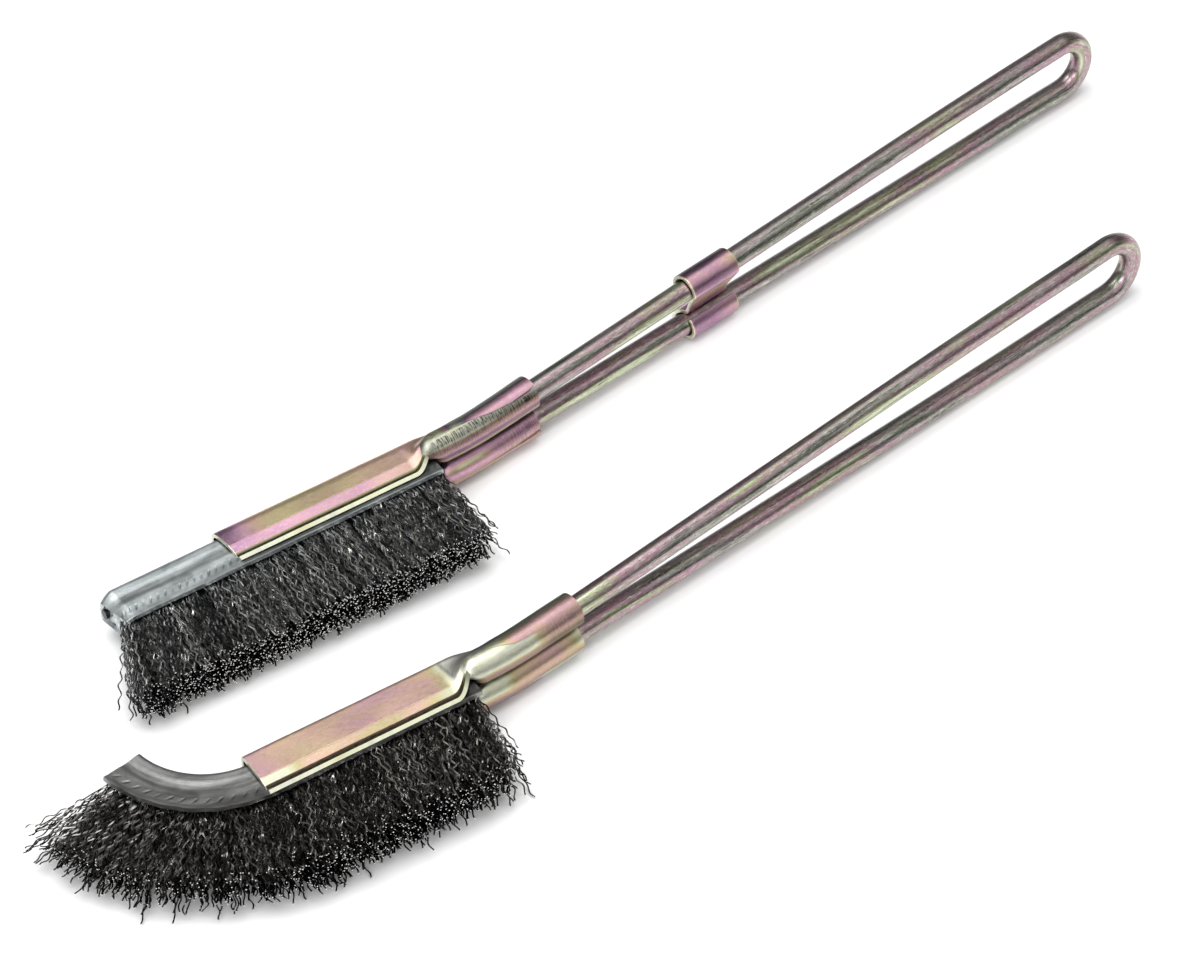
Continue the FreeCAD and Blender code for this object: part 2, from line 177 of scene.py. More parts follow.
def sheet(name, brush, grid, thickness, material, nodes, values, flip=False, bevel=0.12, sharp=35):
    """A closed sheet of metal whose outer face is the grid (stations x points across)."""
    rows, columns = grid.shape[:2]
    normal = grid_normals(grid) * (-1 if flip else 1)
    inner = grid - normal * thickness
    points = np.concatenate([grid.reshape(-1, 3), inner.reshape(-1, 3)])
    count = rows * columns
    faces = quads(rows, columns, 0, flip) + quads(rows, columns, count, not flip)
    rim = list(range(columns))
    rim += [i * columns + columns - 1 for i in range(1, rows)]
    rim += [(rows - 1) * columns + j for j in range(columns - 2, -1, -1)]
    rim += [i * columns for i in range(rows - 2, 0, -1)]
    for a, b in zip(rim, rim[1:] + rim[:1]):
        face = (a, b, b + count, a + count)
        faces.append(face[::-1] if flip else face)
    whole = {key: np.broadcast_to(v, (rows, columns)).ravel() for key, v in values.items()}
    both = {key: np.concatenate([v, v]) for key, v in whole.items()}
    piece = add_mesh(name, brush, points, faces, material, nodes, both, sharp)
    if bevel:
        edge = piece.modifiers.new("edge", "BEVEL")
        edge.width = bevel / 1000
        edge.segments = 2
        edge.limit_method = "ANGLE"
        edge.angle_limit = math.radians(55)
        edge.harden_normals = False


def lengths(path):
    """The distance along a line of points, at each point."""
    steps = np.linalg.norm(np.diff(path, axis=0), axis=1)
    return np.concatenate([[0], np.cumsum(steps)])


def points_at(path, length, wanted):
    """A flat line's points at the wanted distances along it."""
    return np.stack([np.interp(wanted, length, path[:, k]) for k in (0, 1)], 1)


def tube(name, brush, line, radius, sides, material, nodes):
    """A closed round bar along a line of points, with painted shade along its upper back."""
    tangent = unit(np.gradient(line, axis=0))
    side = unit(np.cross(tangent, [0.0, 1.0, 0.0]))
    above = np.cross(side, tangent)
    angle = np.linspace(0, 2 * math.pi, sides, endpoint=False)
    ring = side[:, None] * np.cos(angle)[None, :, None] + above[:, None] * np.sin(angle)[None, :, None]
    points = (line[:, None] + ring * radius).reshape(-1, 3)
    faces = []
    for i in range(len(line) - 1):
        for j in range(sides):
            a, b = i * sides + j, i * sides + (j + 1) % sides
            faces.append((a, b, b + sides, a + sides))
    faces.append(tuple(range(sides))[::-1])
    last = (len(line) - 1) * sides
    faces.append(tuple(range(last, last + sides)))
    other_streaks = 500 if brush.curved else 0
    # Painted shade: a dark band along the upper back side, which faces away from the bristles.
    facing = np.degrees(np.arctan2(ring[..., 1], ring[..., 2])).ravel()
    values = {
        "along": np.repeat(lengths(line), sides) + other_streaks,
        "across": np.tile(angle * radius, len(line)),
        "shade": 1 - 0.78 * window(facing, 20, 74, 16),
    }
    add_mesh(name, brush, points, faces, material, nodes, values, sharp=50)


def ease(value, low, high):
    """Nought below one limit, one beyond the other, smooth between; the limits may come in either order."""
    t = np.clip((np.asarray(value, float) - low) / (high - low), 0, 1)
    return t * t * (3 - 2 * t)


def window(value, low, high, soft):
    """One between two limits, falling off smoothly on both sides."""
    return ease(value, low - soft, low + soft) * (1 - ease(value, high - soft, high + soft))


def blend(base, weight, value):
    return base * (1 - weight) + value * weight


def bump_at(value, centre, width):
    return np.exp(-(((np.asarray(value, float) - centre) / width) ** 2))


def ripple(along, across, seed):
    """Smooth, repeatable unevenness between about -1 and 1."""
    local = np.random.default_rng(seed)
    total = np.zeros(np.broadcast(along, across).shape)
    for _ in range(7):
        a, b, c = local.uniform(0.1, 0.55), local.uniform(0.1, 0.9), local.uniform(0, 6.3)
        total = total + np.sin(a * along + b * across * local.choice([-1, 1]) + c)
    return total / 4


# --- Materials ---
def set_stops(ramp, stops):
    """A grey or a colour at each position of a ramp node."""
    elements = ramp.color_ramp.elements
    while len(elements) < len(stops):
        elements.new(0.5)
    for element, (position, colour) in zip(elements, stops):
        element.position = position
        element.color = (*colour, 1) if isinstance(colour, tuple) else (colour, colour, colour, 1)


class Paint:
    """A node material, named after the record's slot where it has one, with a few short helpers."""

    def __init__(self, name):
        self.material = bpy.data.materials.new(f"{name}_finish")
        self.material.use_nodes = True
        self.tree = self.material.node_tree
        self.shader = self.tree.nodes["Principled BSDF"]

    def node(self, kind, **values):
        made = self.tree.nodes.new(kind)
        for key, value in values.items():
            setattr(made, key, value)
        return made

    def link(self, source, target):
        self.tree.links.new(source, target)

    def feed(self, socket, value):
        """A number, a colour or another node's output."""
        if isinstance(value, (int, float)):
            socket.default_value = value
        elif isinstance(value, tuple):
            socket.default_value = (*value, 1)
        else:
            self.link(value, socket)

    def value(self, name):
        return self.node("ShaderNodeAttribute", attribute_name=name).outputs["Fac"]

    def math(self, operation, a, b=0.0, clamp=False):
        made = self.node("ShaderNodeMath", operation=operation, use_clamp=clamp)
        self.feed(made.inputs[0], a)
        self.feed(made.inputs[1], b)
        return made.outputs[0]

    def times(self, value, factor):
        return self.math("MULTIPLY", value, factor)

    def swing(self, noise, size):
        """Noise made to swing about zero."""
        return self.times(self.math("SUBTRACT", noise, 0.5), size)

    def grid(self, along, across, third=0.0):
        """Coordinates on the metal: along and across the piece, in scaled millimetres."""
        made = self.node("ShaderNodeCombineXYZ")
        self.link(self.times(self.value("along"), along), made.inputs[0])
        self.link(self.times(self.value("across"), across), made.inputs[1])
        made.inputs[2].default_value = third
        return made.outputs[0]

    def place(self, scale):
        """Coordinates in the object's own space, in scaled millimetres."""
        coordinates = self.node("ShaderNodeTexCoord").outputs["Object"]
        made = self.node("ShaderNodeVectorMath", operation="SCALE")
        self.link(coordinates, made.inputs[0])
        made.inputs["Scale"].default_value = 1000 * scale
        return made.outputs[0]

    def noise(self, vector, detail, roughness, distortion=0.0):
        made = self.node("ShaderNodeTexNoise")
        self.link(vector, made.inputs["Vector"])
        numbers = {"Scale": 1.0, "Detail": detail, "Roughness": roughness, "Distortion": distortion}
        for key, number in numbers.items():
            made.inputs[key].default_value = number
        return made.outputs["Fac"]

    def ramp(self, value, stops):
        made = self.node("ShaderNodeValToRGB")
        set_stops(made, stops)
        self.feed(made.inputs[0], value)
        return made.outputs[0]

    def mask(self, value, low, high):
        """A value stretched from nought at one limit to one at the other, which may be the lower."""
        stops = [(low, 0.0), (high, 1.0)]
        return self.ramp(value, sorted(stops))

    def mix(self, factor, a, b, kind="MIX"):
        made = self.node("ShaderNodeMix", data_type="RGBA", blend_type=kind)
        self.feed(made.inputs[0], factor)
        self.feed(made.inputs[6], a)
        self.feed(made.inputs[7], b)
        return made.outputs[2]

    def cover(self, colour, mask, strength, over):
        """A second colour where the mask is, at some strength."""
        return self.mix(self.times(mask, strength), colour, over)

    def bump(self, height, strength, distance):
        made = self.node("ShaderNodeBump")
        made.inputs["Strength"].default_value = strength
        made.inputs["Distance"].default_value = distance
        self.link(height, made.inputs["Height"])
        self.link(made.outputs[0], self.shader.inputs["Normal"])

    def finish(self, colour, roughness, metallic=1.0):
        self.feed(self.shader.inputs["Base Color"], colour)
        self.feed(self.shader.inputs["Roughness"], roughness)
        self.feed(self.shader.inputs["Metallic"], metallic)
        return self.material


# Colour of the passivated zinc by the thickness of its film, thinnest first
FILM = [
    (0.00, (0.70, 0.70, 0.66)),
    (0.12, (0.82, 0.84, 0.60)),
    (0.25, (0.66, 0.56, 0.30)),
    (0.37, (0.74, 0.50, 0.38)),
    (0.48, (0.72, 0.42, 0.50)),
    (0.58, (0.58, 0.32, 0.48)),
    (0.68, (0.34, 0.20, 0.30)),
    (0.78, (0.36, 0.38, 0.42)),
    (0.88, (0.52, 0.58, 0.44)),
    (1.00, (0.80, 0.70, 0.66)),
]

# The rod's greys and tints, from its dark streaks to its bright ones
ROD_TONES = [
    (0.30, (0.12, 0.10, 0.11)),
    (0.40, (0.21, 0.23, 0.17)),
    (0.46, (0.36, 0.34, 0.32)),
    (0.52, (0.40, 0.22, 0.29)),
    (0.58, (0.34, 0.38, 0.22)),
    (0.68, (0.70, 0.73, 0.58)),
]


def zinc_sheet():
    """Zinc plate under a thin film of drifting colour, with dark tool marks, darkened by the painted shade
    each piece stores.
    """
    paint = Paint("zinc_sheet")
    slow = paint.noise(paint.grid(0.12, 0.30), 2.0, 0.5, 0.6)
    fine = paint.noise(paint.grid(0.8, 2.6, 4.0), 4.0, 0.65)
    drift = paint.swing(slow, 0.26)
    grain = paint.swing(fine, 0.14)
    film = paint.math("ADD", paint.math("ADD", paint.value("film"), drift), grain, clamp=True)
    colour = paint.ramp(film, FILM)
    rub = paint.noise(paint.grid(0.25, 3.0, 9.0), 5.0, 0.7)
    worn = paint.mask(rub, 0.56, 0.70)
    colour = paint.cover(colour, worn, 0.40, (0.66, 0.64, 0.58))
    stripe = paint.noise(paint.grid(4.2, 0.55, 6.0), 3.0, 0.6)
    cut = paint.math("MULTIPLY", paint.mask(stripe, 0.52, 0.44), paint.value("marks"))
    colour = paint.cover(colour, cut, 0.85, (0.04, 0.035, 0.035))
    fleck = paint.mask(paint.noise(paint.grid(1.1, 4.4, 21.0), 4.0, 0.75), 0.53, 0.62)
    colour = paint.cover(colour, fleck, 0.40, (0.84, 0.80, 0.76))
    speck = paint.noise(paint.grid(3.0, 3.4, 2.0), 2.0, 0.5)
    pits = paint.mask(speck, 0.32, 0.25)
    colour = paint.cover(colour, pits, 0.70, (0.10, 0.08, 0.07))
    # The stored shade is painted shade, with one painted highlight, plus a little random unevenness.
    uneven = paint.swing(fine, 0.3)
    painted_shade_and_grain = paint.math("ADD", paint.value("shade"), uneven, clamp=True)
    colour = paint.mix(1.0, colour, painted_shade_and_grain, "MULTIPLY")
    rough = paint.math("ADD", 0.26, paint.times(fine, 0.24))
    paint.bump(fine, 0.25, 0.00006)
    return paint.finish(colour, rough)


def zinc_rod():
    """Drawn rod with lengthwise streaks, plated like the sheet but greyer."""
    paint = Paint("zinc_rod")
    slow = paint.noise(paint.grid(0.030, 0.34), 2.0, 0.5, 0.4)
    streak = paint.noise(paint.grid(0.06, 1.5, 3.0), 4.0, 0.65)
    fine = paint.noise(paint.grid(0.5, 3.5, 7.0), 3.0, 0.6)
    tone = paint.math("ADD", paint.times(slow, 0.6), paint.times(streak, 0.4))
    colour = paint.ramp(tone, ROD_TONES)
    dark = paint.mask(streak, 0.46, 0.36)
    colour = paint.cover(colour, dark, 0.65, (0.09, 0.075, 0.08))
    bright = paint.mask(paint.noise(paint.grid(0.16, 1.1, 12.0), 3.0, 0.6), 0.60, 0.72)
    colour = paint.cover(colour, bright, 0.6, (0.74, 0.74, 0.64))
    fleck = paint.mask(paint.noise(paint.grid(0.7, 4.2, 21.0), 4.0, 0.75), 0.53, 0.62)
    colour = paint.cover(colour, fleck, 0.50, (0.82, 0.82, 0.74))
    speck = paint.noise(paint.grid(1.2, 4.0, 1.0), 4.0, 0.7)
    pits = paint.mask(speck, 0.42, 0.36)
    colour = paint.cover(colour, pits, 0.65, (0.05, 0.045, 0.045))
    # The stored shade is the painted shade band along the rod's upper back.
    colour = paint.mix(1.0, colour, paint.value("shade"), "MULTIPLY")
    rough = paint.math("ADD", 0.19, paint.times(fine, 0.24))
    paint.bump(streak, 0.2, 0.00008)
    return paint.finish(colour, rough)


def strip_steel(name, light, dark, base_roughness):
    """Satin strip steel with faint rolling lines and small stains."""
    paint = Paint(name)
    rolled = paint.noise(paint.grid(0.10, 1.8), 4.0, 0.6)
    cloud = paint.noise(paint.grid(0.35, 0.5, 5.0), 4.0, 0.6, 0.8)
    grain = paint.noise(paint.grid(2.4, 4.5, 2.0), 3.0, 0.6)
    tone = paint.math("ADD", paint.times(rolled, 0.5), paint.times(cloud, 0.5))
    colour = paint.ramp(tone, [(0.36, dark), (0.62, light)])
    speck = paint.mask(grain, 0.38, 0.30)
    colour = paint.cover(colour, speck, 0.4, tuple(0.4 * c for c in dark))
    # The stored shade carries painted shade and painted highlights.
    colour = paint.mix(1.0, colour, paint.value("shade"), "MULTIPLY")
    rough = paint.math("ADD", base_roughness, paint.times(cloud, 0.16))
    paint.bump(grain, 0.25, 0.00006)
    return paint.finish(colour, rough)


def wire_steel(name, dark, middle, light):
    """Crimped wire: dark drawn steel, each wire a little different, burnished and with a painted glint on
    some of its crests, with painted shade near ends that lie under others.
    """
    paint = Paint(name)
    patch = paint.noise(paint.place(0.5), 3.0, 0.6)
    tone = paint.math("ADD", paint.times(paint.value("tone"), 0.7), paint.times(patch, 0.3))
    colour = paint.ramp(tone, [(0.20, dark), (0.60, middle), (0.95, light)])
    # Painted shade near the ends of wires that lie under others.
    colour = paint.cover(colour, paint.value("depth"), 0.88, (0.006, 0.006, 0.006))
    # Painted glint on some crests, which are also smoother.
    glint_and_burnish = paint.value("glint_and_burnish")
    colour = paint.cover(colour, glint_and_burnish, 0.9, (0.95, 0.95, 0.93))
    rough = paint.math("SUBTRACT", 0.36, paint.times(glint_and_burnish, 0.10))
    return paint.finish(colour, rough)


def cut_steel():
    """Freshly sheared ends."""
    paint = Paint("cut_steel")
    patch = paint.noise(paint.place(1.2), 2.0, 0.5)
    colour = paint.ramp(patch, [(0.35, (0.80, 0.80, 0.79)), (0.65, (0.98, 0.98, 0.97))])
    return paint.finish(colour, 0.5, 0.35)


ZINC_SHEET = zinc_sheet()
ZINC_ROD = zinc_rod()
GALVANISED = strip_steel("galvanised_strip", (0.62, 0.66, 0.66), (0.40, 0.44, 0.45), 0.34)
BARE_STRIP = strip_steel("bare_strip", (0.34, 0.34, 0.33), (0.19, 0.19, 0.19), 0.34)
STRAIGHT_WIRE = wire_steel("straight_wire", (0.05, 0.05, 0.05), (0.24, 0.24, 0.24), (0.80, 0.80, 0.79))
CURVED_WIRE = wire_steel("curved_wire", (0.028, 0.025, 0.024), (0.12, 0.11, 0.105), (0.62, 0.59, 0.56))
CUT_STEEL = cut_steel()


# --- Handle rods ---
def rotate(vector, axis, angle):
    axis = axis / np.linalg.norm(axis)
    along = axis * np.dot(axis, vector)
    rest = vector - along
    return along + rest * math.cos(angle) + np.cross(axis, vector) * math.sin(angle)


def handle_line(brush):
    """The hairpin's middle line, walked from the upper leg's front end.

    An arc bends both legs alike, a fan turns one towards or from the other. The fan with no radius is the
    loop, which turns about the middle plane.
    """
    spread = math.radians(brush.spread)
    crank = math.radians(CRANK)
    point = np.array([ROD_FRONT, -ROD_DEPTH, SPACING / 2])
    heading = np.array([1.0, 0.0, 0.0])
    across = np.array([math.sin(crank), -math.cos(crank), 0.0])
    there = [
        ("line", ROD_LEAD, 0),
        ("arc", CRANK_RADIUS, crank),
        ("line", ROD_GRIP, 0),
        ("fan", SPREAD_RADIUS, spread),
        ("line", brush.leg, 0),
        ("fan", RETURN_RADIUS, -spread),
        ("line", LOOP_LEAD, 0),
    ]
    back = [(kind, size, -angle if kind == "arc" else angle) for kind, size, angle in there[::-1]]
    line = [point]
    for kind, size, angle in there + [("fan", None, -math.pi)] + back:
        if kind == "line":
            count = max(int(size / ARC_STEP), 1)
            line += [point + heading * size * k / count for k in range(1, count + 1)]
            point = line[-1]
            continue
        axis = UP if kind == "arc" else across
        radius = point[2] if size is None else size
        centre = point + np.cross(axis, heading) * radius * math.copysign(1, angle)
        count = max(int(abs(angle) * radius / ARC_STEP), 6) if size else 40
        line += [centre + rotate(point - centre, axis, angle * k / count) for k in range(1, count + 1)]
        point = line[-1]
        heading = rotate(heading, axis, angle)
    return np.array(line)


def make_handle(brush):
    """The rod, its loop a little out of square."""
    line = handle_line(brush)
    end = line[:, 0].max()
    in_loop = ease(line[:, 0], end - 16, end - 4)
    skew, shorter = 0.10, 0.35 if brush.curved else -0.8
    line[:, 0] -= in_loop * (skew * line[:, 2] + shorter)
    tube(f"{brush.name}_handle_rod", brush, line, ROD, ROD_SIDES, ZINC_ROD, [f"{brush.name}_handle"])


def leg_line(station):
    """Point and tangent angle of the legs' common middle line at a distance along it, from x = 0."""
    start = ROD_FRONT + ROD_LEAD
    crank = math.radians(CRANK)
    run = np.clip(station - start, 0, CRANK_RADIUS * crank)
    angle = run / CRANK_RADIUS
    rest = np.maximum(station - start - CRANK_RADIUS * crank, 0)
    x = np.minimum(station, start) + CRANK_RADIUS * np.sin(angle) + rest * np.cos(angle)
    y = -ROD_DEPTH + CRANK_RADIUS * (1 - np.cos(angle)) + rest * np.sin(angle)
    return x, y, angle


# --- Holder ---
def rounded_path(corners, radii):
    """A dense line through corners, each rounded with its own radius."""
    corners = [np.array(c, float) for c in corners]
    points = [corners[0]]
    for before, here, after, radius in zip(corners, corners[1:], corners[2:], radii[1:-1]):
        a = (before - here) / np.linalg.norm(before - here)
        b = (after - here) / np.linalg.norm(after - here)
        half = math.acos(np.clip(np.dot(a, b), -1, 1)) / 2
        reach = radius / math.tan(half)
        for t in np.linspace(0, 1, 9):
            p, q = here + a * reach * (1 - t), here + b * reach * t
            points.append(p * (1 - t) + q * t)
    points.append(corners[-1])
    return np.array(points)


def resample(path, counts, marks):
    """Points at even spacing between marked positions (fractions of the path's length)."""
    length = lengths(path)
    length /= length[-1]
    wanted = []
    for low, high, count in zip(marks, marks[1:], counts):
        wanted += list(np.linspace(low, high, count, endpoint=False))
    wanted.append(marks[-1])
    return points_at(path, length, wanted)


# Points on each stretch of a holder's outline: lip, groove, wall, corner, back and the same again
COUNTS = [6, 4, 12, 34, 26, 34, 12, 4, 6]
SECTIONS = sum(COUNTS) + 1


def fraction_at(path, target):
    """How far along a path its nearest point to the target lies, from 0 to 1."""
    length = lengths(path)
    nearest = np.argmin(np.linalg.norm(path - np.array(target), axis=1))
    return length[nearest] / length[-1]


def channel_section(style):
    """The holder's outer line round the strip, from the near lip over the back to the far lip."""
    half = HOLDER_HALF
    lip = (style["lip"] - 0.35, half - 0.32)
    groove = (style["lip"] + 0.25, half - 1.15)
    narrow = (style["lip"] + 0.80, half - 0.58)
    crease = (style["crease"], half)
    near = [lip, groove, narrow, crease, (HOLDER_BACK, half)]
    far = [(y, -z) for y, z in near[::-1]]
    corner = style["corner"]
    radii = [0, 0.12, 0.1, 0.25, corner, corner, 0.25, 0.1, 0.12, 0]
    path = rounded_path(near + far, radii)
    diagonal = corner * (1 - math.sqrt(0.5))
    marks = [0.0]
    for mark in (groove, narrow, crease, (HOLDER_BACK - diagonal, half - diagonal)):
        marks.append(fraction_at(path, mark))
    marks += [1 - mark for mark in marks[::-1]]
    return resample(path, COUNTS, marks)


def leg_arc(side, radius, angles):
    """Points round a leg: 0 degrees outwards across the brush, 90 towards the bristles."""
    angle = np.radians(angles)
    return np.stack([-radius * np.sin(angle), side * (SPACING / 2 + radius * np.cos(angle))], 1)


def sleeve_section(seam, radius, dip):
    """The holder's outer line round both legs, from the near seam over the back to the far leg's front."""
    parts = []
    stops = [seam, seam - 3, seam - 6, seam - 28, -90]
    for low, high, count in zip(stops, stops[1:], COUNTS[:4]):
        parts.append(leg_arc(1, radius, np.linspace(low, high, count + 1)[:-1]))
    z = np.linspace(SPACING / 2, -SPACING / 2, COUNTS[4] + 1)[:-1]
    parts.append(np.stack([radius - dip * np.cos(z / SPACING * math.pi) ** 2, z], 1))
    stops = [-90, 10, 50, 66, 82]
    for low, high, count in zip(stops, stops[1:], COUNTS[5:]):
        parts.append(leg_arc(-1, radius, np.linspace(low, high, count + 1)[:-1]))
    parts.append(leg_arc(-1, radius, [82]))
    return np.concatenate(parts)


# What differs between the two holders. A pair of lists is a value at stations along the holder, except that
# a front is the station of a flap's front edge at angles round its leg. Films are places in FILM.
STYLES = {
    "straight": {
        "corner": 2.2,
        "crease": -3.7,
        "lip": -6.35,
        "slant": 1.0,
        "seam": ([38, 44, 46, 50, 54, 58, 62, 64], [2, -3, 0, 7, 23, 31, 28, 22]),
        "radius": ([38, 50, 58, 62, 64], [3.1, 3.05, 3.15, 3.3, 3.35]),
        "flap_radius": ([38, 46, 50, 58, 60, 64], [2.95, 2.95, 2.95, 2.95, 2.9, 2.86]),
        "near_front": ([0, 55, 78, 95, 150], [40.0, 38.9, 39.0, 41.3, 42.5]),
        "far_front": ([10, 30, 60, 95, 125, 200], [43.8, 43.0, 42.4, 43.1, 44.0, 45.0]),
        "near_low": ([38, 44, 50, 54, 58, 64], [-20, -14, -6, 12, 30, 44]),
        "end": 63.6,
        "face_film": (
            [0, 3, 5, 8, 12, 18, 24, 30, 34, 38],
            [0.70, 0.64, 0.50, 0.34, 0.26, 0.27, 0.32, 0.32, 0.38, 0.40],
        ),
        "fold_film": ([0, 3, 6, 12, 20, 26, 30, 38], [0.60, 0.58, 0.53, 0.52, 0.51, 0.50, 0.42, 0.38]),
    },
    "curved": {
        "corner": 0.9,
        "crease": -4.95,
        "lip": -7.25,
        "slant": 0.0,
        "seam": ([38, 44, 46, 48, 50, 54, 58, 62, 64], [2, -4, 0, 12, 26, 33, 37, 34, 32]),
        "radius": ([38, 50, 58, 64], [3.1, 3.1, 3.12, 3.12]),
        "flap_radius": ([38, 46, 64], [3.0, 3.02, 3.0]),
        "near_front": ([0, 50, 78, 95, 150], [41.0, 39.8, 39.9, 41.3, 42.5]),
        "far_front": ([10, 30, 60, 95, 125, 200], [43.6, 42.0, 41.1, 41.2, 42.0, 43.0]),
        "near_low": ([38, 44, 50, 64], [-20, -14, 8, 22]),
        "end": 63.7,
        "face_film": (
            [0, 3, 8, 14, 20, 26, 31, 34, 36.5, 38],
            [0.45, 0.41, 0.35, 0.36, 0.41, 0.42, 0.37, 0.42, 0.22, 0.03],
        ),
        "fold_film": ([0, 4, 8, 16, 22, 26, 30, 36], [0.10, 0.08, 0.34, 0.37, 0.28, 0.26, 0.38, 0.12]),
    },
}


def section_at(style, station):
    """The holder's outer line at a station along it, as (offset from the legs' line, across)."""
    channel = channel_section(style)
    channel[:, 0] += ROD_DEPTH
    seam = np.interp(station, *style["seam"])
    sleeves = sleeve_section(seam, np.interp(station, *style["radius"]), 0.35)
    index = np.arange(SECTIONS)
    edges = np.cumsum(COUNTS)
    backness = ease(index, edges[2], edges[3]) * (1 - ease(index, edges[4], SECTIONS))
    side = ease(station, 36.4, 42.6)
    back = ease(station, 39.5, 48.0)
    weight = (side * (1 - backness) + back * backness)[:, None]
    return blend(channel, weight, sleeves)


def on_legs(station, section_y, z):
    """Points from stations along the legs and offsets square to them."""
    x, y, angle = leg_line(station)
    return np.stack([x - np.sin(angle) * section_y, y + np.cos(angle) * section_y, z + 0 * x], -1)


def make_holder(brush):
    style = STYLES[brush.name]
    spans = [(0, 2, 10), (2, 36, 64), (36, 48, 64), (48, style["end"], 50)]
    stations = np.concatenate([np.linspace(low, high, count, endpoint=False) for low, high, count in spans])
    stations = np.append(stations, style["end"])
    sections = np.stack([section_at(style, station) for station in stations])
    station = np.broadcast_to(stations[:, None], sections.shape[:2]).copy()
    depth = np.clip(ROD_DEPTH - sections[..., 0], 0, 7)
    station += style["slant"] * depth / 7 * (1 - ease(station, 0, 6))
    grid = on_legs(station, sections[..., 0], sections[..., 1])
    steps = np.linalg.norm(np.diff(grid, axis=1), axis=2)
    across = np.concatenate([np.zeros((len(stations), 1)), np.cumsum(steps, axis=1)], 1)
    grid[..., 2] += 0.05 * ripple(station, across, 3) * ease(station, 2, 8) * np.sign(grid[..., 2])
    index = np.broadcast_to(np.arange(SECTIONS), station.shape)
    film, shade = holder_paint(brush, station, sections[..., 0], sections[..., 1], index)
    film[0], shade[0] = 0.03, 0.9
    values = {"along": station, "across": across, "film": film, "shade": shade, "marks": 0.0}
    name = f"{brush.name}_holder"
    sheet(f"{name}_sheet", brush, grid, HOLDER_SHEET * 0.70, ZINC_SHEET, [name], values, bevel=0.09)
    make_flap(brush, "near", 1)
    make_flap(brush, "far", -1)


def make_flap(brush, name, side):
    """A flap that wraps the bristle side of one leg, by angle from the outward side of that leg."""
    style = STYLES[brush.name]
    high = FLAP_HIGH[name]
    t = np.linspace(0, 1, 80)[:, None]
    v = np.linspace(0, 1, 90)[None, :]
    angle = FLAP_LOW + (high - FLAP_LOW) * v
    front = np.interp(angle, *style[f"{name}_front"])
    station = front + (style["end"] - front) * t
    if name == "near":
        low = np.interp(station, *style["near_low"])
        angle = low + (high - low) * v
    radius = np.interp(station, *style["flap_radius"]) + (0.1 if name == "far" else 0.0)
    nose = np.clip(1 - (station - front) / 1.8, 0, 1)
    radius = radius - 0.65 * nose**2.2 + 0.04 * ripple(station, angle / 12, 8)
    phi = np.radians(angle)
    grid = on_legs(station, -radius * np.sin(phi), side * SPACING / 2 + radius * np.cos(phi))
    film, shade, marks = flap_paint(brush, name, station, angle)
    values = {"along": station, "across": angle / 57.3 * 3, "film": film, "shade": shade, "marks": marks}
    piece = f"{brush.name}_holder_{name}_flap"
    sheet(piece, brush, grid, FLAP_SHEET, ZINC_SHEET, (), values, flip=True, bevel=0.1)


def holder_paint(brush, station, offset, z, index):
    """The colour film's thickness and the painted shade over the holder's main sheet."""
    near = z > 0
    y = offset - ROD_DEPTH
    wall = 1 - ease(station, 38, 41)
    style = STYLES[brush.name]
    face = np.interp(station, *style["face_film"])
    if not brush.curved:
        face = face - 0.10 * ease(-y, 1, 3.5) * (1 - ease(station, 3, 6))
    second = np.interp(station, *style["fold_film"])
    edges = np.cumsum(COUNTS)
    folded = np.minimum(index, SECTIONS - 1 - index)
    film = blend(face, wall * (folded < edges[2]), second)
    film = blend(film, wall * (folded <= edges[1]), 0.34 if brush.curved else 0.22)
    film = blend(film, wall * (folded <= edges[0]), 0.10)
    # Painted shade: the second face, the crease, the narrow face and the groove darker, the lip's edge light
    # again.
    shade = 1 - 0.47 * wall * (folded < edges[2]) - 0.50 * wall * bump_at(folded, edges[2], 0.8)
    shade = blend(shade, wall * (folded <= edges[1]), 0.13 if brush.curved else 0.50)
    shade = blend(shade, wall * (folded <= edges[0] + 2), 0.07)
    shade = blend(shade, wall * (folded <= 1), 0.95)
    # Darker over the straight holder's front end; painted shade along a fold line across the curved holder's
    # wall.
    if not brush.curved:
        shade = shade - 0.25 * (1 - ease(station, 1, 5)) * (folded >= edges[2])
    else:
        shade = shade - 0.4 * bump_at(station, 37.6 - 0.15 * y, 0.35) * window(-y, -0.5, 4.0, 0.5) * near
    # Painted shade over the neck and the sleeves, darkest along the sleeves' upper back.
    phi = np.degrees(np.arctan2(-offset, z - SPACING / 2))
    sleeve = ease(station, 39, 44) * near
    back = (1 - ease(phi, -34, 2)) * ease(phi, -86, -56)
    film = blend(film, sleeve, 0.03 if brush.curved else 0.92)
    upper = sleeve * window(phi, -16, 60, 10) * ease(station, 46, 51)
    film = blend(film, upper, 0.43 if brush.curved else 0.50)
    film = blend(film, sleeve * (1 - ease(station, 43, 47)), 0.0)
    shade = shade * (1 - 0.34 * ease(station, 37, 42) - 0.50 * sleeve * back)
    return film, np.clip(shade, 0.05, 1)


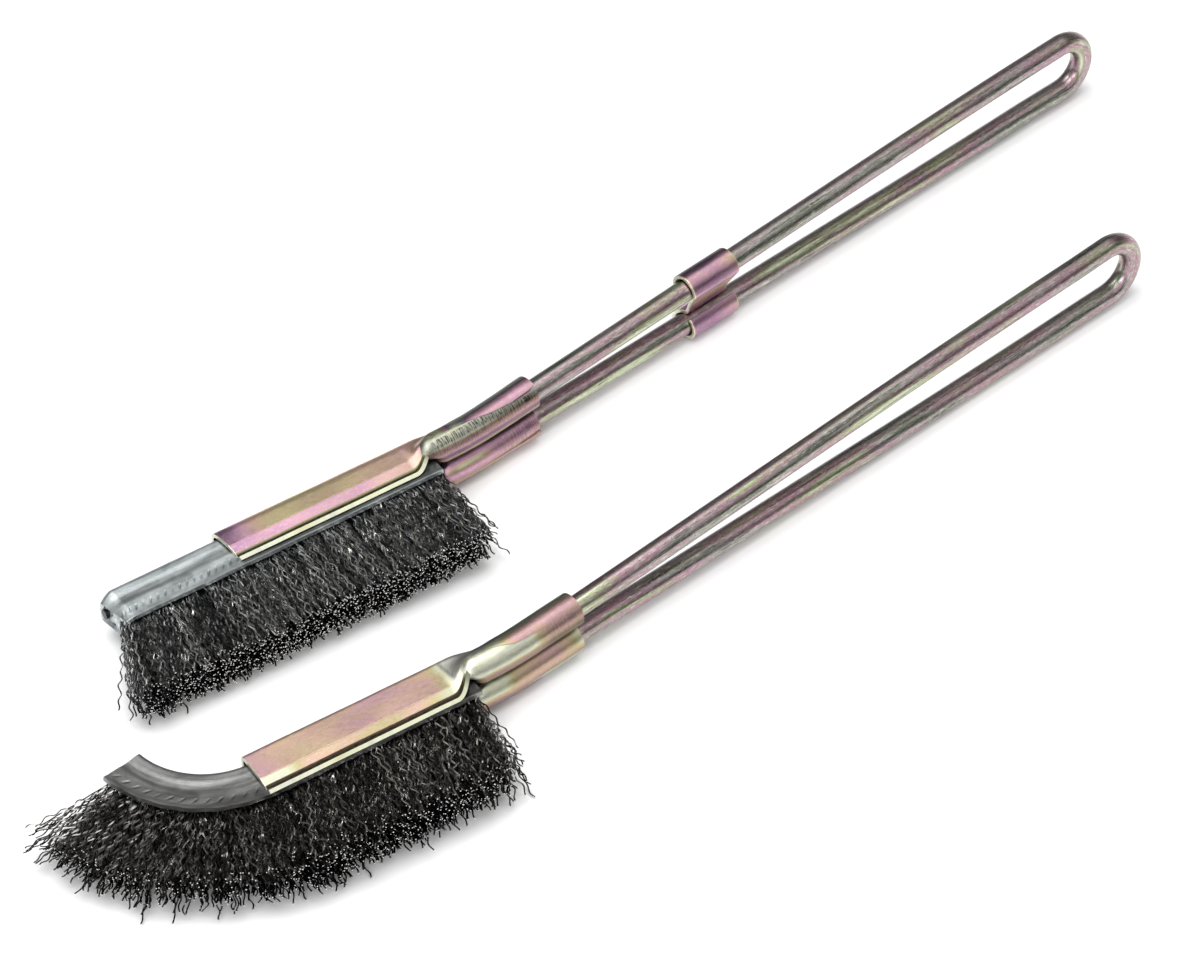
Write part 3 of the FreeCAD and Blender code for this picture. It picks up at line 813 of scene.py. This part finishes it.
def flap_paint(brush, name, station, angle):
    """Film, painted shade and tool marks over a flap, with a painted highlight on the straight brush's far
    flap.
    """
    # The shade values are painted shade: darker underneath, towards the bristles, at the noses, along the
    # upper back and in the valley between the legs.
    if brush.curved and name == "near":
        film = blend(0.06, ease(station, 52, 57), 0.40)
        film = blend(film, ease(angle, 70, 88), 0.36)
        shade = 0.80 - 0.40 * ease(angle, 66, 92) - 0.16 * ease(station, 53, 57)
        shade = shade - 0.22 * window(angle, 8, 30, 6) * ease(station, 46, 50)
        shade = shade - 0.30 * ease(angle, 106, 122)
        return film, np.clip(shade, 0.1, 1), 0.25 * ease(station, 54, 58)
    if brush.curved:
        film = np.interp(station, [41, 47, 50, 54, 58, 64], [0.06, 0.10, 0.30, 0.36, 0.42, 0.14])
        film = blend(film, ease(angle, 66, 92), 0.38)
        shade = 0.74 - 0.30 * ease(angle, 70, 105) - 0.28 * (1 - ease(angle, 8, 26))
        return film, np.clip(shade, 0.1, 1), 0.0
    if name == "near":
        film = blend(0.05, ease(angle, 46, 56), 0.42)
        film = blend(film, ease(angle, 76, 88), 0.62)
        film = blend(film, ease(angle, 94, 106), 0.22)
        band = np.interp(station, [40, 46, 50, 54, 60], [30, 26, 24, 30, 40])
        marks = window(angle, band - 14, band + 16, 6) * ease(station, 40, 43)
        shade = 0.70 - 0.30 * window(angle, 80, 104, 5) - 0.26 * ease(angle, 102, 118)
        shade = shade - 0.30 * marks - 0.40 * (1 - ease(station, 39.6, 42.5))
        return film, np.clip(shade, 0.08, 1), np.clip(1.3 * marks + 0.40 * window(angle, 44, 80, 8), 0, 1)
    film = blend(0.56, ease(station, 51, 56), 0.52)
    # Painted highlight: a pale patch with lighter shade on the far flap's front.
    film = blend(film, window(angle, 44, 62, 7) * window(station, 44, 52, 2.5), 0.12)
    film = blend(film, window(angle, 66, 84, 6), 0.48)
    film = blend(film, ease(angle, 84, 96), 0.26)
    shade = 0.80 - 0.60 * (1 - ease(angle, 22, 42)) * ease(station, 50, 54)
    shade = shade + 0.2 * window(angle, 44, 62, 7) * window(station, 44, 52, 2.5)
    shade = shade - 0.30 * ease(angle, 76, 100)
    shade = shade - 0.20 * window(angle, 62, 80, 5) * ease(station, 52, 56)
    return film, np.clip(shade, 0.08, 1), 0.4 * ease(station, 52, 58)


# --- Strips ---
def strip_section(corner, flare):
    """The strip's outer line: near mouth edge, back, far mouth edge, as (depth, across)."""
    half = STRIP_HALF
    near = [(STRIP_DEPTH, half + flare), (STRIP_DEPTH - 0.9, half), (0.0, half)]
    far = [(d, -z) for d, z in near[::-1]]
    path = rounded_path(near + far, [0, 0.6, corner, corner, 0.6, 0])
    length = lengths(path)
    wanted = np.linspace(0, length[-1], STRIP_POINTS)
    return points_at(path, length, wanted), wanted


def dimples(along, depth):
    """Slanted crimp marks along each wall."""
    below = depth - DIMPLE_ROW
    slanted = along + 0.50 * below
    wave = (slanted / DIMPLE_PITCH) % 1.0 - 0.5
    unevenness = 0.8 + 0.3 * np.sin(slanted * 1.7) * np.sin(slanted * 0.43)
    return unevenness * np.exp(-((wave * DIMPLE_PITCH / 0.15) ** 2)) * np.exp(-((below / 0.55) ** 4))


def make_strip(brush):
    corner = 0.9 if brush.curved else 1.2
    section, across = strip_section(corner, 0.12 if brush.curved else 0.04)
    front = brush.front
    along = np.arange(front, STRIP_REAR + 0.1, STRIP_STEP)
    depth = np.broadcast_to(section[:, 0], (len(along), len(section))).copy()
    side = np.broadcast_to(section[:, 1], depth.shape).copy()
    station = np.broadcast_to(along[:, None], depth.shape).copy()
    wall = np.sign(side) * ease(np.abs(side), 2.9, 3.15)
    side -= wall * 0.09 * dimples(station, depth)
    side += wall * 0.05 * ripple(station, depth * 2, 5)
    side -= wall * 0.10 * window(depth, 2.4, 4.2, 0.6)
    if brush.curved:
        spread = ease(BEND_START + 2 - station, 0, 6) * ease(depth, 4, STRIP_DEPTH)
        side += np.sign(side) * 0.30 * spread
        depth += 0.08 * np.sin(station * 2.1) * ease(depth, 7.6, 8.1)
    else:
        nose = np.clip((front + 2.6 - station) / 2.6, 0, 1)
        depth += 0.9 * nose**1.6 * (1 - ease(depth, 0.6, 3.4))
        low = ease(depth, 4.0, 8.1)
        side *= 1 - 0.34 * nose**1.5 * (1 - 0.55 * low)
        station = station + 0.96 * np.clip((front + 4 - station) / 4, 0, 1) * ease(depth, 0.5, 7.5)
        torn = np.clip((front + 1.6 - station) / 1.6, 0, 1) * ease(depth, 6.2, 8.1)
        depth += 0.45 * torn * np.sin(9 * side + 4 * station)
        side += 0.35 * torn * np.sin(6.5 * station + 2)
    # A darker band where the wall is pressed in and darker towards the mouth; painted shade beside each
    # dimple, a painted shadow under the holder's lip and a painted highlight along the mouth edge.
    shade = 1 - 0.30 * window(depth, 2.2, 4.4, 0.6) * (0.4 if brush.curved else 1.0)
    shade = shade - 0.14 * ease(depth, 5.2, 7.2) - 0.60 * dimples(station - 0.12, depth)
    shade = shade + 0.12 * ease(depth, 7.7, 8.1)
    held = ease(station, 0.5, 1.5)
    shade = blend(shade, held * (1 - ease(depth, 7.75, 8.0)), 0.30)
    grid = brush.head(station, depth, side)
    material = BARE_STRIP if brush.curved else GALVANISED
    values = {"along": station, "across": across, "shade": np.clip(shade, 0.1, 1)}
    name = f"{brush.name}_strip"
    sheet(f"{name}_sheet", brush, grid, STRIP_SHEET, material, [name], values, bevel=0.1, sharp=50)


def make_crushed_end(brush):
    """Crumpled metal folded over the straight strip's open front end."""
    depth, side = np.meshgrid(np.linspace(0.9, 8.0, 60), np.linspace(-1, 1, 50), indexing="ij")
    half = np.interp(depth, [0.9, 2.5, 5.0, 8.0], [1.3, 2.0, 2.5, 2.7])
    crumple = 0.5 * ripple(depth * 5.0, side * 7.0, 21) + 0.35 * ripple(depth * 11.0, side * 15.0, 22)
    along = brush.front + 0.25 + 0.14 * depth + 0.40 * crumple + 0.4 * side**2
    grid = brush.head(along, depth + 0.15 * crumple, side * half)
    # The shade values are painted shade in the crumples' hollows and painted light on their crests.
    values = {"along": 3 * depth, "across": 3 * side, "shade": np.clip(0.95 + 0.6 * crumple, 0.30, 1.3)}
    sheet(f"{brush.name}_strip_crushed_end", brush, grid, 0.25, GALVANISED, (), values, bevel=0)


# --- Clip ---
def clip_line(half_gap, radius):
    """The clip's middle line as (across, towards the bristles): one hook, the web and the other hook."""
    near = np.radians(np.linspace(-100, 87, 40))
    first = np.stack([half_gap + radius * np.cos(near), radius * np.sin(near)], 1)
    far = np.radians(np.linspace(-24, -326, 56))
    last = np.stack([-half_gap + radius * np.cos(far), radius * np.sin(far)], 1)
    corner = [tuple(first[-1]), (half_gap - 4.3, 0.35), (-half_gap + radius * 0.97, 0.0), tuple(last[0])]
    web = rounded_path(corner, [0, 1.0, 0.6, 0])
    return np.concatenate([first[:-1], web, last[1:]])


def make_clip(brush):
    spread = math.radians(brush.spread)
    crank_end = ROD_FRONT + ROD_LEAD + CRANK_RADIUS * math.radians(CRANK)
    half_gap = SPACING / 2 + (CLIP_FRONT + CLIP_LENGTH / 2 - crank_end - ROD_GRIP) * math.sin(spread)
    radius = ROD + CLIP_GAP + CLIP_SHEET / 2
    dense = clip_line(half_gap, radius)
    length = lengths(dense)
    wanted = np.linspace(0, length[-1], 150)
    line = points_at(dense, length, wanted)
    tangent = unit(np.gradient(line, axis=0))
    face = line + np.stack([tangent[:, 1], -tangent[:, 0]], 1) * CLIP_SHEET / 2
    stations = np.linspace(CLIP_FRONT, CLIP_FRONT + CLIP_LENGTH, 44)[:, None]
    x, y, angle = leg_line(stations)
    middle = CLIP_FRONT + CLIP_LENGTH / 2
    in_web = bump_at(wanted, wanted[np.argmin(np.abs(line[:, 0]))], 3.0)
    along = stations + (middle - stations) * 0.16 * in_web
    shift = along - stations
    grid = np.stack(
        [
            x + shift * np.cos(angle) + np.sin(angle) * face[:, 1],
            y + shift * np.sin(angle) - np.cos(angle) * face[:, 1],
            face[:, 0] + 0 * x,
        ],
        -1,
    )
    near_angle = np.degrees(np.arctan2(line[:, 1], line[:, 0] - half_gap))
    on_near = (line[:, 0] > half_gap - 2.0) * 1.0
    film = np.full(len(line), 0.60)
    film = blend(film, on_near * window(near_angle, -80, 4, 8), 0.64)
    film = blend(film, on_near * window(near_angle, 4, 44, 10), 0.46)
    in_path = ease(line[:, 0], half_gap - 0.6, half_gap - 1.2) * (line[:, 1] > -1.0)
    film = blend(film, in_path, np.interp(line[:, 0], [-1.0, 0.5, half_gap - 1.5], [0.56, 0.40, 0.28]))
    film = blend(film, ease(wanted, length[-1] - 9, length[-1] - 6), 0.60)
    # Painted shade: darker over the top of the near hook, along a band lower down it and over the far hook's
    # end; the web left undarkened and the front and rear edges lighter.
    shade = 0.80 - 0.62 * on_near * (1 - ease(near_angle, -24, 14))
    shade = shade - 0.22 * on_near * window(near_angle, 48, 80, 6)
    shade = blend(shade, in_path, 1.0) - 0.3 * ease(wanted, length[-1] - 9, length[-1] - 6)
    rim = 1 - window(stations, CLIP_FRONT + 0.2, CLIP_FRONT + CLIP_LENGTH - 0.2, 0.1)
    film = blend(film - 0.10 * ease(along, middle, CLIP_FRONT + CLIP_LENGTH), rim, 0.08)
    shade = np.clip(shade + 0.3 * rim, 0.1, 1)
    values = {"along": along, "across": wanted, "film": film, "shade": shade, "marks": 0.0}
    name = f"{brush.name}_clip"
    sheet(f"{name}_sheet", brush, grid, CLIP_SHEET, ZINC_SHEET, [name], values, flip=True)


# --- Bristles ---
def wire_points(brush, root, heading, length, crimp, pitch, phase, plane, bow):
    """The points of many crimped wires, one row of input each, and how far their crimps have turned."""
    t = np.linspace(0, 1, WIRE_POINTS)
    distance = length[:, None] * t
    helper = np.where(np.abs(heading[:, 2:3]) < 0.8, UP, [1.0, 0.0, 0.0])
    side = unit(np.cross(heading, helper))
    above = np.cross(heading, side)
    turns = 2 * math.pi * distance / pitch[:, None] + phase[:, None]
    wave = 0.8 * np.sin(turns) + 0.4 * np.sin(0.57 * turns + 5 * phase[:, None])
    wave = wave * crimp[:, None] * ease(distance, 0.0, 1.0)
    swing = side * np.cos(plane)[:, None] + above * np.sin(plane)[:, None]
    line = root[:, None] + heading[:, None] * distance[..., None] + swing[:, None] * wave[..., None]
    line = line + bow[:, None] * (t**2)[None, :, None]
    height = brush.world(line.reshape(-1, 3))[:, 2].reshape(line.shape[:2]) * 1000
    line[..., 2] += np.maximum(TABLE_GAP - height, 0)
    angle = np.linspace(0, 2 * math.pi, WIRE_SIDES, endpoint=False)
    ring = side[:, None, :] * np.cos(angle)[None, :, None] + above[:, None, :] * np.sin(angle)[None, :, None]
    return (line[:, :, None] + WIRE * ring[:, None]).reshape(-1, 3), turns


def wire_faces(count):
    """The sides of so many wires, then one cap for each free end."""
    base = np.arange(count)[:, None, None] * WIRE_POINTS * WIRE_SIDES
    ring = base + np.arange(WIRE_POINTS - 1)[None, :, None] * WIRE_SIDES
    j = np.arange(WIRE_SIDES)[None, None, :]
    k = (j + 1) % WIRE_SIDES
    faces = np.stack([ring + j, ring + WIRE_SIDES + j, ring + WIRE_SIDES + k, ring + k], -1)
    caps = base[:, 0] + (WIRE_POINTS - 1) * WIRE_SIDES + j[0]
    return np.concatenate([faces.reshape(-1, 4), caps])


def wire_mesh(name, brush, points, count, material):
    """One mesh of many wires, some of whose free ends are cut bright."""
    faces = wire_faces(count)
    mesh = bpy.data.meshes.new(name)
    mesh.vertices.add(len(points))
    mesh.vertices.foreach_set("co", brush.world(points).astype(np.float32).ravel())
    mesh.loops.add(faces.size)
    mesh.loops.foreach_set("vertex_index", faces.astype(np.int32).ravel())
    mesh.polygons.add(len(faces))
    mesh.polygons.foreach_set("loop_start", np.arange(len(faces), dtype=np.int32) * WIRE_SIDES)
    slots = np.zeros(len(faces), dtype=np.int32)
    slots[-count:] = rng.random(count) < BRIGHT_ENDS
    mesh.materials.append(material)
    mesh.materials.append(CUT_STEEL)
    mesh.polygons.foreach_set("material_index", slots)
    mesh.update(calc_edges=True)
    mesh.validate()
    mesh.shade_smooth()
    mesh.set_sharp_from_angle(angle=math.radians(70))
    return mesh


def wire_values(root, phase, turns):
    """Each wire's tone, the crests with painted glints and burnish, and the painted shade of an end that
    lies under others.
    """
    t = np.linspace(0, 1, WIRE_POINTS)
    tone = np.repeat(rng.random(len(root)) ** 1.4, WIRE_POINTS * WIRE_SIDES)
    # Painted shade: ends that lie under others are darkened towards their tips.
    buried = 1 - ease(root[:, 2:], 0.9, 1.9)
    depth = np.repeat((buried * ease(t, 0.82, 0.94)).ravel(), WIRE_SIDES)
    # Painted glints, with lower roughness, on one flank of some crimps.
    polish_and_glint_spots = np.sin(turns * 0.41 + 7.0 * phase[:, None]) * np.sin(turns * 0.17 + 3.0 * phase[:, None])
    glint_and_burnish = ease(np.cos(turns), -0.1, 0.5) * ease(polish_and_glint_spots, 0.0, 0.25)
    glint_and_burnish = glint_and_burnish * (1 - buried * ease(t, 0.82, 0.92))
    return {"tone": tone, "glint_and_burnish": np.repeat(glint_and_burnish.ravel(), WIRE_SIDES), "depth": depth}


def bristle_bundle(brush, node, low, high):
    """The wires whose roots lie between two positions along the strip."""
    count = int((high - low) * WIRES_PER_MM[brush.name])
    ragged = 1.0 if brush.curved else 0.0
    along = rng.uniform(low, high, count)
    across = rng.uniform(-1, 1, count)
    root = brush.head(along, ROOT_DEPTH, across * ROOT_HALF)
    ahead = brush.head(along, MOUTH_DEPTH, across * ROOT_HALF)
    heading = unit(ahead - root)
    lead = np.cross(UP, heading)
    if brush.curved:
        bend = ease(BEND_START - along, -4, 8)
        lean = -0.26 * (1 - bend) + 0.02 * bend
        length = 16.9 - 1.2 * bend - (1.2 + 1.6 * bend) * rng.random(count) ** 1.5
    else:
        stations = [STRIP_FRONT, -19.0, -8.0, 10.0, STRIP_REAR]
        lean = np.interp(along, stations, [-0.34, -0.27, -0.18, -0.13, -0.08])
        length = np.full(count, REACH)
    stray = rng.random(count) < 0.02 + 0.03 * ragged
    loose = 0.17 * np.exp(-(along - STRIP_FRONT) / 2.2) if not brush.curved else 0.0
    fan = rng.normal(0, 0.045 + 0.06 * ragged, count)
    fan = fan + rng.normal(0, 0.12, count) * stray
    fan = fan + rng.normal(0, 1, count) * loose
    clump = 0.035 * np.sin(along * 1.9 + across * 1.3) + 0.03 * np.sin(along * 4.3 + 2 * across)
    lift = across * 0.085 + rng.normal(0, 0.035 + 0.025 * ragged, count)
    heading = unit(heading + lead * (lean + fan + clump)[:, None] + UP * lift[:, None])
    tufts = 0.25 * np.sin(along * 2.6 + 2.0 * across) + 0.2 * np.sin(along * 5.7 - across)
    spread = 0.22 + 0.45 * ragged + 6.0 * np.abs(loose)
    length = length + STRIP_DEPTH - ROOT_DEPTH + rng.normal(0, spread, count) + tufts * (1 + ragged)
    crimp = rng.uniform(0.20, 0.38, count) * (1 + 0.15 * ragged)
    pitch = rng.uniform(2.5, 3.6, count)
    phase = rng.uniform(0, 2 * math.pi, count)
    plane = rng.normal(0, 0.5, count)
    bow = rng.normal(0, 0.30 + 0.45 * ragged, (count, 3))
    points, turns = wire_points(brush, root, heading, length, crimp, pitch, phase, plane, bow)
    name = f"{node}_wires"
    mesh = wire_mesh(name, brush, points, count, CURVED_WIRE if brush.curved else STRAIGHT_WIRE)
    store(mesh, wire_values(root, phase, turns))
    add_piece(name, brush, mesh, [node])


def make_bristles(brush):
    """The bundles as the CAD model divides them: evenly, and apart round the bend and along the flat."""
    if brush.curved:
        bend = list(np.linspace(brush.front + 0.1, BEND_START, 5))
        edges = bend + list(np.linspace(BEND_START, STRIP_REAR, 6))[1:]
    else:
        edges = list(np.linspace(brush.front + 0.5, STRIP_REAR, 9))
    for number, (low, high) in enumerate(zip(edges, edges[1:]), start=1):
        bristle_bundle(brush, f"{brush.name}_bristles_{number}", low, high)


def finish_core(brush):
    """The hidden core wire keeps its CAD shape."""
    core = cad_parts[f"{brush.name}_core_wire"]
    core.data.materials.clear()
    core.data.materials.append(STRAIGHT_WIRE)


for brush in (straight, curved):
    make_handle(brush)
    make_holder(brush)
    make_strip(brush)
    if not brush.curved:
        make_crushed_end(brush)
    make_bristles(brush)
    finish_core(brush)
make_clip(straight)


# --- Table, light and camera ---
def make_floor():
    paint = Paint("pale_table")
    patch = paint.noise(paint.place(0.02), 2.0, 0.5)
    colour = paint.ramp(patch, [(0.3, (0.93, 0.93, 0.93)), (0.7, (0.95, 0.95, 0.95))])
    paint.finish(colour, 0.9, 0.0)
    mesh = bpy.data.meshes.new("table")
    corners = [(-1, -1), (1, -1), (1, 1), (-1, 1)]
    points = [(x * FLOOR_HALF, y * FLOOR_HALF, -FLOOR_DROP) for x, y in corners]
    mesh.from_pydata(points, [], [(0, 1, 2, 3)])
    mesh.materials.append(paint.material)
    add_object("table", mesh)


def make_world():
    """A studio that is bright overhead and darker towards the horizon."""
    world = bpy.data.worlds.new("studio")
    bpy.context.scene.world = world
    world.use_nodes = True
    tree = world.node_tree
    coordinates = tree.nodes.new("ShaderNodeTexCoord")
    towards = tree.nodes.new("ShaderNodeVectorMath")
    towards.operation = "DOT_PRODUCT"
    towards.inputs[1].default_value = Vector((-0.22, -0.30, 0.93)).normalized()
    tree.links.new(coordinates.outputs["Generated"], towards.inputs[0])
    ramp = tree.nodes.new("ShaderNodeValToRGB")
    set_stops(ramp, [(0.0, 0.30), (0.20, 0.10), (0.45, 0.16), (0.62, 0.95), (1.0, 1.15)])
    tree.links.new(towards.outputs["Value"], ramp.inputs[0])
    tree.links.new(ramp.outputs[0], tree.nodes["Background"].inputs["Color"])
    tree.nodes["Background"].inputs["Strength"].default_value = 0.9


def make_light(name, where, size, power):
    """A square soft light aimed at the origin."""
    data = bpy.data.lights.new(name, "AREA")
    data.shape = "SQUARE"
    data.size = size
    data.energy = power
    light = add_object(name, data)
    light.location = where
    light.rotation_mode = "QUATERNION"
    light.rotation_quaternion = (-Vector(where)).to_track_quat("-Z", "Y")


def make_camera():
    aim = straight.world([[66.5, -15.5, 0.0]])[0]
    aim = Vector((aim[0], aim[1], 0.0))
    a, e = math.radians(AZIMUTH), math.radians(ELEVATION)
    back = Vector((math.sin(a) * math.cos(e), -math.cos(a) * math.cos(e), math.sin(e)))
    data = bpy.data.cameras.new("camera")
    data.sensor_width = SENSOR
    data.lens = LENS
    camera = add_object("camera", data)
    camera.location = aim + back * DISTANCE
    camera.rotation_mode = "QUATERNION"
    camera.rotation_quaternion = (-back).to_track_quat("-Z", "Y")
    bpy.context.scene.camera = camera


make_floor()
make_world()
make_light("overhead", (-0.15, 0.05, 1.3), 1.1, 14.0)
make_light("front_left", (-0.9, -0.9, 0.9), 0.6, 5.0)
make_camera()
bpy.context.scene.view_settings.view_transform = "Standard"
